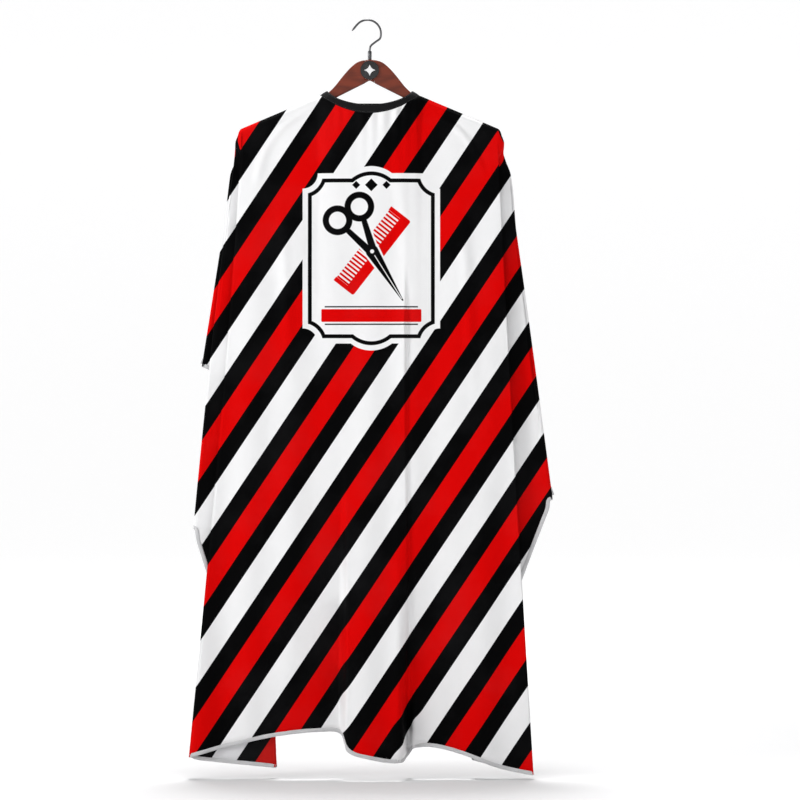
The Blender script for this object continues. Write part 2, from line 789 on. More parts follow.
# ---- the cloth ------------------------------------------------------------------------------------
def fall_roll(fall):
    """How far the cloth stands out from the ridge at a fall below it, as it rolls over the arm."""
    return CLOTH_HALF_DEPTH * math.sqrt(1 - (1 - clamp(fall / (9 * MM))) ** 2)


def neck_pull(x, fall):
    share = clamp(abs(x) / NECK_HALF)
    return math.sqrt(max(0.0, 1 - share**4)) * math.exp(-fall / (120 * MM))


def front_point(x, z, settings):
    """The front's place at x and z: (x moved by its folds, depth)."""
    fall = top_line(x) - z
    low = -z / MM
    depth = lerp(fall_roll(fall), NECK_FRONT, neck_pull(x, fall))
    depth += 5 * MM * smooth(250, 900, low)
    shift = 0.0
    # the middle of the hem stands forward between two sharp folds
    fold = smooth(-52 * MM, -38 * MM, x) * (1 - smooth(46 * MM, 72 * MM, x))
    depth += settings.wave * fold * smooth(620, 1235, low) ** 1.4
    shift -= 2.5 * MM * bump(x, -44 * MM, 8 * MM) * smooth(900, 1235, low) ** 1.6
    # a long crease on the right: the cloth comes forward, then steps back sharply
    crease = 64 * MM + 1.5 * MM * math.sin(low / 120)
    side = crease - x
    strength = smooth(400, 520, low)
    strength *= 1 - 0.35 * smooth(560, 760, low) + 0.35 * smooth(900, 1150, low)
    if side > 0:
        depth += 6.5 * MM * strength * math.exp(-side / (26 * MM)) * smooth(0, 3 * MM, side)
    else:
        depth -= 3.2 * MM * strength * math.exp(side / (13 * MM)) * smooth(0, 3 * MM, -side)
    # its fellow on the left, which faces the other way
    side = x + 42 * MM + 1.2 * MM * math.sin(low / 100)
    strength = smooth(760, 960, low)
    if side > 0:
        depth += 5.5 * MM * strength * math.exp(-side / (24 * MM)) * smooth(0, 3 * MM, side)
    else:
        depth -= 2.6 * MM * strength * math.exp(side / (12 * MM)) * smooth(0, 3 * MM, -side)
    # at the hem the right crease opens into a hollow
    depth -= 30 * MM * bump(x, 65 * MM, 9 * MM) * smooth(1130, 1245, low) ** 1.3
    shift += 4 * MM * bump(x, 52 * MM, 6 * MM) * smooth(1120, 1240, low)
    shift -= 5 * MM * bump(x, 80 * MM, 6 * MM) * smooth(1120, 1240, low)
    # wide flutes that grow as they fall
    grow = smooth(200, 1250, low)
    depth += 3.2 * MM * grow * math.sin(x / (27 * MM) + 0.9 + 0.5 * math.sin(low / 310))
    depth += 2.2 * MM * grow * math.sin(x / (15.5 * MM) + 2.1 + 0.7 * math.sin(low / 420))
    depth += 1.2 * MM * smooth(120, 420, low) * math.sin(x / (11 * MM) + 0.002 * low)
    # gathers under the neckband, strongest right of the middle
    gather = math.exp(-fall / (42 * MM)) * (0.35 + 0.65 * bump(x, 34 * MM, 42 * MM))
    gather *= smooth(0, 6 * MM, fall) * (1 - smooth(80 * MM, 92 * MM, abs(x)))
    depth += 2.7 * MM * gather * math.sin(x / (3.1 * MM) + 0.6 * math.sin(x / (9 * MM)))
    # drag lines from the neck's ends towards the sides
    for sign, first, reach in ((-1, 150, 150), (1, 160, 110)):
        line = 113 + 95 * (1 - math.exp(-max(0.0, low - 156) / 50))
        away = x * sign - line * MM
        strength = smooth(first, first + 25, low)
        strength *= 1 - smooth(first + 0.6 * reach, first + reach, low)
        depth += 3.0 * MM * strength * bump(away, -5 * MM, 7 * MM)
        depth -= 1.8 * MM * strength * bump(away, 5 * MM, 6 * MM)
    # the cloth rolls up in small pleats along the tops of the shoulders
    if abs(x) > NECK_HALF:
        out = smooth(88, 104, abs(x) / MM) * (1 - smooth(150, 190, abs(x) / MM))
        ripple = math.sin(fall / (1.5 * MM) + x / (60 * MM))
        depth += 1.4 * MM * out * math.exp(-fall / (14 * MM)) * ripple
    # three short upright folds: (middle, top, bottom, height), in millimetres
    for middle, top, bottom, high in (
        (-150, 360, 520, 4.0),
        (163, 380, 560, 4.2),
        (52, 250, 420, 2.2),
    ):
        lean = (x / MM - middle) - (low - top) * 0.06
        window = smooth(top - 60, top + 40, low) * (1 - smooth(bottom - 40, bottom + 120, low))
        depth += high * MM * window * math.exp(-((lean / 10) ** 2))
    # two soft sags across the chest, where the cloth hangs between the shoulders
    sag = (1 - smooth(120, 200, abs(x) / MM)) * smooth(150, 230, low) * (1 - smooth(430, 620, low))
    depth += 1.6 * MM * sag * math.sin(low / 34 + (x / (95 * MM)) ** 2)
    return x + shift, -depth


def back_depth(x, fall):
    share = clamp(abs(x) / NECK_HALF)
    shape = math.sqrt(max(0.0, 1 - share**4))
    depth = lerp(fall_roll(fall), NECK_BACK - 1.2 * MM, shape * math.exp(-fall / (110 * MM)))
    flute = math.sin(x / (24 * MM) + fall / (90 * MM))
    return depth + 1.6 * MM * smooth(40 * MM, 160 * MM, fall) * flute


BACK_HEM_LEFT = [(0, 0), (0.35, 0.04), (0.6, 0.14), (0.78, 0.35), (0.92, 0.74), (1, 1)]
BACK_HEM_RIGHT = [(0, 0), (0.35, 0.03), (0.6, 0.12), (0.78, 0.32), (0.92, 0.72), (1, 1)]
BACK_HEM_Z = -335 * MM
NAPE_LAP = 14 * MM
ROW_POWER = 1.5
BACK_SPREAD = 0.55  # share of a back panel beyond which it follows its outer contour
CORNER_TOP, CORNER_END = 20 * MM, 80 * MM  # falls between which a layer leaves the arm's end
FOLD_STEPS = 5
TURN_EDGE, TURN_FRONT = -0.85, -1  # the front's turn at its edge and at the very front


def inner_left(z):
    return lerp(CORNER_X - 16 * MM, 160 * MM, drop_share(z, -CAPE_LENGTH - 30 * MM))


def inner_right(z):
    return lerp(CORNER_X - 16 * MM, 175 * MM, drop_share(z, -CAPE_LENGTH - 30 * MM))


def cascade(z):
    return CORNER_X - 14 * MM


def at_corner(side, turn, fall):
    """On the half circle round the arm's end: turn runs from -1 in front to 1 behind."""
    a = turn * math.pi / 2
    reach = fall_roll(fall)
    out = reach * 0.55 + 4 * MM * smooth(2 * MM, 24 * MM, fall) + 0.17 * max(0.0, fall - 12 * MM)
    return side * (CORNER_X - 2 * MM + out * math.cos(a)), reach * math.sin(a)


def from_corner(side, turn, x, y, z):
    """A place of a column: at the arm's end on top, then let go to (x, y, z), and its print."""
    fall = CORNER_Z - z
    corner_x, corner_y = at_corner(side, turn, fall)
    share = smooth(CORNER_TOP, CORNER_END, fall)
    return (lerp(corner_x, x, share), lerp(corner_y, y, share), z), (x, z)


def sheet_columns(settings):
    """Columns of the sheet from one edge of the nape to the other: each gives a point at a share
    of its fall, and its place in the print."""
    gap = settings.pleat_gap
    # depths of the layers on the left and on the right, from the front backwards
    l1, l2, l3, l4, l5 = -3 * MM, -3 * MM + gap, -3 * MM + 2 * gap, 22.5 * MM, 30 * MM
    r1, r2, r3 = -3 * MM, 8 * MM, 20 * MM
    columns = []

    def pleat(side, first, last, depth, hem0, hem1, turn0, turn1, count, hem_power=1.0):
        """A flat layer between two lines of fold."""
        for k in range(1, count):
            s = k / count

            def column(v, s=s):
                z = lerp(CORNER_Z, lerp(hem0, hem1, s**hem_power), v**ROW_POWER)
                waver = 1.5 * MM * math.sin(z / (85 * MM) + 7 * depth / MM + 5 * s)
                x = side * lerp(first(z), last(z), s)
                y = depth + waver * math.sin(math.pi * s)
                return from_corner(side, lerp(turn0, turn1, s), x, y, z)

            columns.append(column)

    def fold(side, line, y0, y1, hem, out, turn):
        """A round fold at a line: out is 1 when it bulges outwards."""
        for k in range(FOLD_STEPS + 1):
            a = math.pi * k / FOLD_STEPS

            def column(v, a=a):
                z = lerp(CORNER_Z, hem, v**ROW_POWER)
                half = (y1 - y0) / 2
                size = smooth(20 * MM, 260 * MM, CORNER_Z - z) * 0.7 + 0.3
                x = side * (line(z) - out * abs(half) * (1 - math.sin(a)) * size)
                y = (y0 + y1) / 2 - half * math.cos(a)
                y += 1.2 * MM * math.sin(z / (70 * MM) + 3 * y0 / MM) * math.sin(a)
                return from_corner(side, turn, x, y, z)

            columns.append(column)

    def turn_under(side, edge, hem, inner):
        """The round edge between the front and the layer under it."""
        for k in range(1, FOLD_STEPS):
            a = math.pi * k / FOLD_STEPS

            def column(v, a=a):
                z = lerp(CORNER_Z, hem, v**ROW_POWER)
                x, y = front_point(side * edge(z), z, settings)
                half = (y - inner) / 2
                size = smooth(20 * MM, 200 * MM, CORNER_Z - z)
                x -= side * size * abs(half) * 0.6 * (1 - math.sin(a))
                y = inner + half * (1 + side * math.cos(a))
                share = a / math.pi if side < 0 else 1 - a / math.pi
                return from_corner(side, lerp(TURN_EDGE, TURN_FRONT, share), x, y, z)

            columns.append(column)

    def front():
        """The front, with its columns closer together at its two creases."""
        places = [-1.0]
        while places[-1] < 1.0:
            x = places[-1] * 255 * MM
            close = max(bump(x, -38 * MM, 22 * MM), bump(x, 60 * MM, 26 * MM))
            places.append(places[-1] + lerp(1.2, 0.5, close) * 2 / settings.front_columns)
        for f in places[:-1] + [1.0]:

            def column(v, f=f):
                z = lerp(top_line(f * CORNER_X), -CAPE_LENGTH - hem_drop(f), v**ROW_POWER)
                flat_x = f * (left_edge(z) if f < 0 else right_edge(z))
                x, y = front_point(flat_x, z, settings)
                return (x, y, z), (flat_x, z)

            columns.append(column)

    def back(side, contour, shares, hem_end, outer_depth, lap, count, reverse):
        """A back panel, whose outer part spreads to a contour."""
        order = range(count + 1)
        for k in reversed(order) if reverse else order:
            s = k / count

            def column(v, s=s):
                across = lerp(-NAPE_LAP, CORNER_X, s)
                top_x = side * across
                top = top_line(top_x, True)
                z = lerp(top, lerp(BACK_HEM_Z, hem_end, along(shares, s)), v**ROW_POWER)
                fall = top - z
                if s > BACK_SPREAD:
                    start = lerp(-NAPE_LAP, CORNER_X, BACK_SPREAD)
                    outer = lerp(start, contour(z), (s - BACK_SPREAD) / (1 - BACK_SPREAD))
                    across = lerp(across, outer, smooth(20 * MM, 160 * MM, fall))
                y = back_depth(top_x, fall)
                y += lap * (1 - smooth(0.08, 0.35, s)) * smooth(-2 * MM, 16 * MM, fall)
                y = lerp(y, outer_depth, smooth(0.5, 0.93, s) * smooth(8 * MM, 78 * MM, fall))
                return (side * across, y, z), (side * across, z)

            column.behind = True
            columns.append(column)

    # left side, from the nape round to the front
    tip, tip_z = left_tip_contour, LEFT_TIP_Z
    flap, flap_z = left_flap_contour, LEFT_FLAP_Z
    deep = -CAPE_LENGTH - 33 * MM
    back(-1, tip, BACK_HEM_LEFT, tip_z, l5, 4.2 * MM, 44, False)
    fold(-1, tip, l5, l4, tip_z - 2 * MM, 1, 0.95)
    pleat(-1, tip, cascade, l4, tip_z, tip_z - 40 * MM, 0.9, 0.7, 10)
    fold(-1, cascade, l4, l3, tip_z - 40 * MM, -1, 0.65)
    pleat(-1, cascade, flap, l3, tip_z - 42 * MM, flap_z, 0.6, 0.35, 10)
    fold(-1, flap, l3, l2, flap_z - 2 * MM, 1, 0.3)
    pleat(-1, flap, inner_left, l2, flap_z, deep, 0.25, -0.3, 18)
    fold(-1, inner_left, l2, l1, deep, -1, -0.35)
    pleat(-1, inner_left, left_edge, l1, deep, -CAPE_LENGTH - 18 * MM, -0.4, TURN_EDGE, 14)
    turn_under(-1, left_edge, -CAPE_LENGTH - 14 * MM, l1)

    front()

    # right side, from the front round to the nape
    flap, flap_z = right_flap_contour, RIGHT_FLAP_Z
    deep = -CAPE_LENGTH - 20 * MM
    turn_under(1, right_edge, -CAPE_LENGTH - 45 * MM, r1)
    pleat(1, right_edge, inner_right, r1, -CAPE_LENGTH - 42 * MM, deep, TURN_EDGE, -0.3, 14)
    fold(1, inner_right, r1, r2, deep, -1, -0.25)
    pleat(1, inner_right, flap, r2, deep, flap_z, -0.2, 0.7, 18, 0.7)
    fold(1, flap, r2, r3, flap_z - 2 * MM, 1, 0.8)
    back(1, flap, BACK_HEM_RIGHT, flap_z, r3, -1.2 * MM, 44, True)
    return columns


def cloth_grid(settings):
    """Places of the grid and of the print, as two arrays [column][row][3 or 2], and which columns
    belong to the back panels."""
    columns = sheet_columns(settings)
    behind = [hasattr(column, "behind") for column in columns]
    rows = settings.rows
    points = np.zeros((len(columns), rows + 1, 3))
    flat = np.zeros((len(columns), rows + 1, 2))
    for i, column in enumerate(columns):
        for j in range(rows + 1):
            points[i, j], flat[i, j] = column(j / rows)
    return points, flat, behind


HELD_LEAST = 0.015  # how firmly the cloth is held far below its shoulders
SAG_FRAMES = 16


def simulated(piece, settings):
    """Lets the cloth sag for a few frames from its shoulders, then keeps that shape. Collisions are
    off, so that only the gaps between the columns' layers keep these apart."""
    group = piece.vertex_groups.new(name="held")
    for vertex in piece.data.vertices:
        x, y, z = vertex.co
        fall = top_line(x) - z if abs(x) < CORNER_X else CORNER_Z - z
        hold = lerp(1, HELD_LEAST, smooth(45 * MM, 230 * MM, fall))
        group.add([vertex.index], hold, "REPLACE")
    modifier = piece.modifiers.new("sag", "CLOTH")
    cloth = modifier.settings
    cloth.quality = 6
    cloth.mass = 0.12
    cloth.air_damping = 2.0
    cloth.bending_model = "ANGULAR"
    cloth.tension_stiffness = 22
    cloth.compression_stiffness = 18
    cloth.shear_stiffness = 8
    cloth.bending_stiffness = 0.35
    cloth.tension_damping = 12
    cloth.compression_damping = 12
    cloth.shear_damping = 10
    cloth.bending_damping = 1.0
    cloth.shrink_min = -settings.spare
    cloth.vertex_group_mass = "held"
    cloth.pin_stiffness = 0.6
    modifier.collision_settings.use_collision = False
    modifier.collision_settings.use_self_collision = False
    scene = bpy.context.scene
    scene.frame_start = 1
    modifier.point_cache.frame_start = 1
    modifier.point_cache.frame_end = SAG_FRAMES
    for number in range(1, SAG_FRAMES + 1):
        scene.frame_set(number)
    evaluated = piece.evaluated_get(bpy.context.evaluated_depsgraph_get())
    places = np.zeros(len(piece.data.vertices) * 3)
    evaluated.to_mesh().vertices.foreach_get("co", places)
    evaluated.to_mesh_clear()
    piece.modifiers.remove(modifier)
    scene.frame_set(1)
    piece.data.vertices.foreach_set("co", places)
    piece.data.update()
    piece.vertex_groups.clear()


def build_cloth(settings, materials):
    """The one sheet of the cape: the piece, and its grid of points after the sag."""
    points, flat, behind = cloth_grid(settings)
    across, down = points.shape[:2]
    kept = {}
    index = np.zeros((across, down), dtype=int)
    vertices = []
    for i in range(across):
        for j in range(down):
            key = tuple(round(c / (0.02 * MM)) for c in points[i, j])
            if j == 0 and key in kept:
                index[i, j] = kept[key]
                continue
            index[i, j] = len(vertices)
            vertices.append(points[i, j])
            if j == 0:
                kept[key] = index[i, j]
    faces, cuts = [], []
    for i in range(across - 1):
        for j in range(down - 1):
            corners = [(i, j), (i, j + 1), (i + 1, j + 1), (i + 1, j)]
            if index[i, j] == index[i + 1, j]:
                corners.pop()
            faces.append([int(index[c]) for c in corners])
            # the back panels are a whole number of stripe repeats away, clear of the plaque
            away = 10 * settings.period if behind[i] or behind[i + 1] else 0.0
            cuts.append([(flat[c][0] + away, flat[c][1]) for c in corners])
    piece = new_object("cape_cloth", vertices, faces, materials)
    layer = piece.data.uv_layers.new(name="cut")
    layer.data.foreach_set("uv", [value for face in cuts for corner in face for value in corner])
    simulated(piece, settings)
    places = np.array([vertex.co[:] for vertex in piece.data.vertices])
    thick = piece.modifiers.new("thickness", "SOLIDIFY")
    thick.thickness = settings.cloth
    thick.offset = 0.0
    thick.use_even_offset = False
    thick.material_offset = 1
    thick.material_offset_rim = 0
    return piece, places[index]


def sheet_area(grid):
    """Area of the cloth that the grid holds, as it hangs."""
    a, b = grid[:-1, :-1], grid[1:, :-1]
    c, d = grid[1:, 1:], grid[:-1, 1:]
    first = np.linalg.norm(np.cross(b - a, c - a), axis=2).sum()
    second = np.linalg.norm(np.cross(c - a, d - a), axis=2).sum()
    return float(first + second) / 2


def edge_frames(grid, pitch):
    """Evenly spaced frames along the cut edge: (point, direction, inward, normal)."""
    rim, inward = [], []
    last = grid.shape[1] - 1

    def put(point, inner):
        rim.append(Vector(point))
        inward.append(Vector(inner) - Vector(point))

    for j in range(3, last):
        put(grid[0, j], grid[1, j])
    for i in range(grid.shape[0]):
        put(grid[i, last], grid[i, last - 1])
    for j in range(last - 1, 2, -1):
        put(grid[-1, j], grid[-2, j])
    spaced, inner = [rim[0]], [inward[0]]
    walked = 0.0
    for k in range(1, len(rim)):
        step = (rim[k] - rim[k - 1]).length
        while step > 0 and walked + step >= pitch:
            t = (pitch - walked) / step
            spaced.append(rim[k - 1].lerp(rim[k], t))
            inner.append(inward[k - 1].lerp(inward[k], t))
            rim[k - 1], inward[k - 1] = spaced[-1], inner[-1]
            step = (rim[k] - rim[k - 1]).length
            walked = 0.0
        walked += step
    for _ in range(2):
        middle = [(a + b * 2 + c) / 4 for a, b, c in zip(spaced, spaced[1:], spaced[2:])]
        spaced = [spaced[0], *middle, spaced[-1]]
        middle = [
            a.normalized() + b.normalized() * 2 + c.normalized()
            for a, b, c in zip(inner, inner[1:], inner[2:])
        ]
        inner = [inner[0], *middle, inner[-1]]
    frames = []
    for k, point in enumerate(spaced):
        direction = (spaced[min(k + 1, len(spaced) - 1)] - spaced[max(k - 1, 0)]).normalized()
        inwards = (inner[k] - direction * inner[k].dot(direction)).normalized()
        frames.append((point, direction, inwards, direction.cross(inwards).normalized()))
    return frames


def build_hem(frames, settings, materials):
    """The overlocked edge: a flat roll over the cut edge, with its threads standing out of it."""
    width, half = settings.hem_width, 1.15 * MM
    rings = []
    for k, (point, direction, inwards, normal) in enumerate(frames):
        ruffle = 0.5 * MM * math.sin(k * 0.9) + 0.35 * MM * math.sin(k * 0.37 + 1)
        ring = []
        for a in range(12):
            turn = 2 * math.pi * a / 12
            reach = (math.cos(turn) * 0.5 + 0.5) ** 0.8
            up = math.sin(turn) * half * (0.9 + 0.1 * math.sin(k * 1.7))
            ring.append(point + inwards * (reach * width - 1.7 * MM) + normal * (up + ruffle * 0.25))
        rings.append(ring)
    hem = swept("cape_hem", rings, materials)
    places = []
    for k in range(1, len(frames) - 1):
        point, direction, inwards, normal = frames[k]
        for side in (1, -1):
            lean = (inwards + direction * 0.32 * (1 if k % 2 else -1)).normalized()
            at = point + inwards * (width * 0.5 - 1.5 * MM) + normal * side * (half * 0.72)
            places.append((at, lean, normal * side))
    threads = stitched(
        "cape_overlock", places, width * 0.95, 0.9 * MM, settings.thread, materials[0], 4
    )
    return hem, threads


# ---- neckband and nape ----------------------------------------------------------------------------
BAND_RISE = 13 * MM
BAND_LAP = 13.5 * MM


def band_lines(x, back):
    """Lower and upper edges of the band at x, before or behind the neck."""
    share = max(-1.0, min(1.0, x / NECK_HALF))
    round_share = math.sqrt(max(0.0, 1 - share**4))
    depth = (NECK_BACK if back else -NECK_FRONT) * round_share
    foot = neckline(x, back) - 1.2 * MM
    lower = Vector((x, depth, foot))
    narrow = lerp(1, (NECK_HALF - BAND_LAP) / NECK_HALF, abs(share) ** 3)
    rise = BAND_RISE if back else BAND_RISE + 2 * MM
    lift = lerp(rise, ridge(NECK_HALF - BAND_LAP) - NECK_Z, share**2)
    upper = Vector((x * narrow, depth * narrow, foot + lift))
    return lower, upper


def band_path():
    """(lower, upper) pairs from the lapped end behind, round the front, to the under end."""
    pairs = []
    end = math.asin(30 * MM / NECK_HALF) / (math.pi / 2)
    for k in range(36):
        pairs.append(band_lines(NECK_HALF * math.sin(math.pi / 2 * lerp(end, 1, k / 36)), True))
    for k in range(88):
        pairs.append(band_lines(NECK_HALF * math.sin(math.pi / 2 * lerp(1, -1, k / 88)), False))
    end = math.asin(20 * MM / NECK_HALF) / (math.pi / 2)
    for k in range(61):
        pairs.append(band_lines(NECK_HALF * math.sin(math.pi / 2 * lerp(-1, end, k / 60)), True))
    return pairs


def build_band(settings, materials):
    pairs = band_path()
    half = settings.band_thick / 2
    rings, lows, highs = [], [], []
    count = len(pairs)
    for k, (lower, upper) in enumerate(pairs):
        ahead = pairs[min(k + 1, count - 1)][0] - pairs[max(k - 1, 0)][0]
        ahead.normalize()
        rise = (upper - lower).normalized()
        out = rise.cross(ahead).normalized()
        if out.dot(Vector((lower.x * 0.2, lower.y, 0))) < 0:
            out.negate()
        height = (upper - lower).length
        puff = 0.25 * MM * math.sin(k * 1.1) + 0.2 * MM * math.sin(k * 0.43)
        ring = []
        for a in range(16):
            turn = 2 * math.pi * a / 16
            c, s = math.cos(turn), math.sin(turn)
            reach = 0.5 + 0.5 * math.copysign(abs(c) ** 0.45, c)
            swell_out = math.sin(math.pi * reach)
            thick = half * math.copysign(abs(s) ** 0.6, s) * (1.0 + 0.25 * swell_out)
            ring.append(lower + rise * height * reach + out * (thick + puff * swell_out))
        rings.append(ring)
        lows.append((lower + rise * 1.9 * MM + out * half * 0.95, ahead, out))
        highs.append((upper - rise * 1.9 * MM + out * half * 0.95, ahead, out))
    band = swept("cape_neckband", rings, [materials["band"]])
    places = []
    for line in (lows, highs):
        walked = 0.0
        for (a, _, _), (b, direction, out) in zip(line, line[1:]):
            walked += (b - a).length
            if walked >= settings.seam_pitch:
                walked -= settings.seam_pitch
                places.append((b, direction, out))
    seams = stitched("cape_band_seams", places, settings.seam_pitch * 0.72, 0.45 * MM,
                     0.19 * MM, materials["dark_thread"], 5)
    return band, seams


def build_tab(settings, materials):
    """The tab that laps over the band's under end, with its rounded tip and a line of stitches."""
    high, low = TAB_HIGH.z, TAB_LOW.z
    middle, half_height = (high + low) / 2, (high - low) / 2
    root, tip = 41 * MM, TAB_LOW.x
    inner = TAB_LOW.y
    thick = TAB_HIGH.y - TAB_LOW.y
    rings, edge = [], []
    count = 84
    for k in range(count + 1):
        x = lerp(root, tip, k / count)
        end = clamp((x - tip) / half_height)
        reach = half_height * math.sqrt(max(0.02, 1 - (1 - end) ** 2.4))
        seat = lerp(inner, 31.4 * MM, smooth(25 * MM, 38 * MM, x))
        wave = 0.25 * MM * math.sin(k * 0.8)
        ring = []
        for a in range(14):
            turn = 2 * math.pi * a / 14
            c, s = math.cos(turn), math.sin(turn)
            z = middle + reach * math.copysign(abs(c) ** 0.55, c)
            y = seat + thick / 2 + (thick / 2 + 0.12 * MM) * math.copysign(abs(s) ** 0.7, s)
            ring.append(Vector((x, y + wave * 0.3, z)))
        rings.append(ring)
        edge.append((x, seat + thick + 0.05 * MM, reach - 1.8 * MM))
    tab = swept("nape_tab_cloth", rings, [materials["band"]])
    places = []
    out = Vector((0, 1, 0))
    for k in range(3, count - 4, 3):
        x, y, reach = edge[k]
        for side in (1, -1):
            slope = (edge[k + 1][2] - edge[k - 1][2]) * side
            direction = Vector((edge[k + 1][0] - edge[k - 1][0], 0, slope)).normalized()
            places.append((Vector((x, y, middle + side * reach)), direction, out))
    for k in range(4):
        z = middle + (k - 1.5) * 2.6 * MM
        places.append((Vector((37 * MM, edge[8][1], z)), Vector((0, 0, 1)), out))
        places.append((Vector((25 * MM, edge[17][1] + 0.2 * MM, z)), Vector((0, 0, 1)), out))
    seams = stitched(
        "nape_tab_seams", places, 2.3 * MM, 0.45 * MM, 0.19 * MM, materials["dark_thread"], 5
    )
    return tab, seams


def snap_part(name, node, profile, materials):
    """A turned snap part in the place of a CAD node, with its foot towards the neck."""
    low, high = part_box(node)
    middle = (low + high) / 2
    foot = Vector((middle.x, low.y, middle.z))
    piece = turned(name, [(r * MM, h * MM) for r, h in profile], foot, (0, 1, 0), materials, 36)
    creased(piece, 32)
    return piece


# ---- hanger and hook ------------------------------------------------------------------------------
def build_arm(name, node, material, settings):
    """The CAD arm's shape as one fine skin with softly rounded edges."""
    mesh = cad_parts[node].data.copy()
    work = bmesh.new()
    work.from_mesh(mesh)
    bmesh.ops.remove_doubles(work, verts=work.verts, dist=1e-5)
    work.to_mesh(mesh)
    work.free()
    mesh.materials.clear()
    rough = placed(name + "_rough", mesh)
    rough.matrix_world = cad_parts[node].matrix_world
    remesh = rough.modifiers.new("skin", "REMESH")
    remesh.mode = "VOXEL"
    remesh.voxel_size = settings.voxel
    soften = rough.modifiers.new("soften", "SMOOTH")
    soften.factor = 0.6
    soften.iterations = 9
    bpy.context.view_layer.update()
    made = bpy.data.meshes.new_from_object(rough.evaluated_get(bpy.context.evaluated_depsgraph_get()))
    made.transform(rough.matrix_world)
    bpy.data.objects.remove(rough)
    made.name = name
    made.materials.clear()
    made.materials.append(material)
    made.shade_smooth()
    return placed(name, made)


def curve_through(points, steps):
    """A centripetal curve through the points."""
    whole = [points[0] * 2 - points[1], *points, points[-1] * 2 - points[-2]]
    path = []
    for a, b, c, d in zip(whole, whole[1:], whole[2:], whole[3:]):
        t0 = 0.0
        t1 = t0 + (b - a).length ** 0.5
        t2 = t1 + (c - b).length ** 0.5
        t3 = t2 + (d - c).length ** 0.5
        for k in range(steps):
            t = lerp(t1, t2, k / steps)
            ab = a * ((t1 - t) / (t1 - t0)) + b * ((t - t0) / (t1 - t0))
            bc = b * ((t2 - t) / (t2 - t1)) + c * ((t - t1) / (t2 - t1))
            cd = c * ((t3 - t) / (t3 - t2)) + d * ((t - t2) / (t3 - t2))
            abc = ab * ((t2 - t) / (t2 - t0)) + bc * ((t - t0) / (t2 - t0))
            bcd = bc * ((t3 - t) / (t3 - t1)) + cd * ((t - t1) / (t3 - t1))
            path.append(abc * ((t2 - t) / (t2 - t1)) + bcd * ((t - t1) / (t2 - t1)))
    path.append(points[-1])
    return path


def build_hook(settings, material):
    centre_x, centre_z, bend = -4 * MM, -21.5 * MM, 23.25 * MM

    def on_bend(degrees):
        a = math.radians(degrees)
        return Vector((centre_x + bend * math.cos(a), 0, centre_z + bend * math.sin(a)))

    start = on_bend(140)
    away = math.radians(230)
    lip = start + Vector((math.cos(away), 0, math.sin(away))) * 14 * MM
    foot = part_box("hook")[0].z
    points = [lip, lip.lerp(start, 0.5), *[on_bend(140 - 18 * k) for k in range(10)]]
    for x, z in ((9.5, -36.5), (1.6, -43.4), (0, -50), (0, -67)):
        points.append(Vector((x * MM, 0, z * MM)))
    points.append(Vector((0, 0, foot)))
    path = curve_through(points, 9)
    length = len(path) - 1

    def radius_at(share):
        """Round at the free end, full along the rest."""
        near = clamp(share * length / 9)
        return settings.wire * math.sqrt(max(0.03, 1 - (1 - near) ** 2))

    return swept("hook_wire", tube_rings(path, radius_at, 20), [material])


# ---- operators --------------------------------------------------------------------------------------
class CAPE_OT_cloth(bpy.types.Operator):
    """Builds the printed cloth of the cape, lets it sag, and sews its edge"""

    bl_idname = "cape.cloth"
    bl_label = "Cloth and Hem"

    def execute(self, context):
        settings, trim = context.scene.cape_cloth, context.scene.cape_trim
        face = cloth_material("Printed polyester", settings, True)
        wrong = cloth_material("Printed polyester wrong side", settings, False)
        white = thread_material("Hem thread", (0.66, 0.66, 0.67))
        cloth, grid = build_cloth(settings, [face, wrong])
        hem, threads = build_hem(edge_frames(grid, trim.hem_pitch), trim, [white])
        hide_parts("cape_front", "cape_pleat_left", "cape_pleat_right", "cape_cascade_left",
                    "cape_back_left", "cape_back_right")
        for piece in (cloth, hem, threads):
            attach(piece, "cape")
        sheet_area(grid)
        return {"FINISHED"}


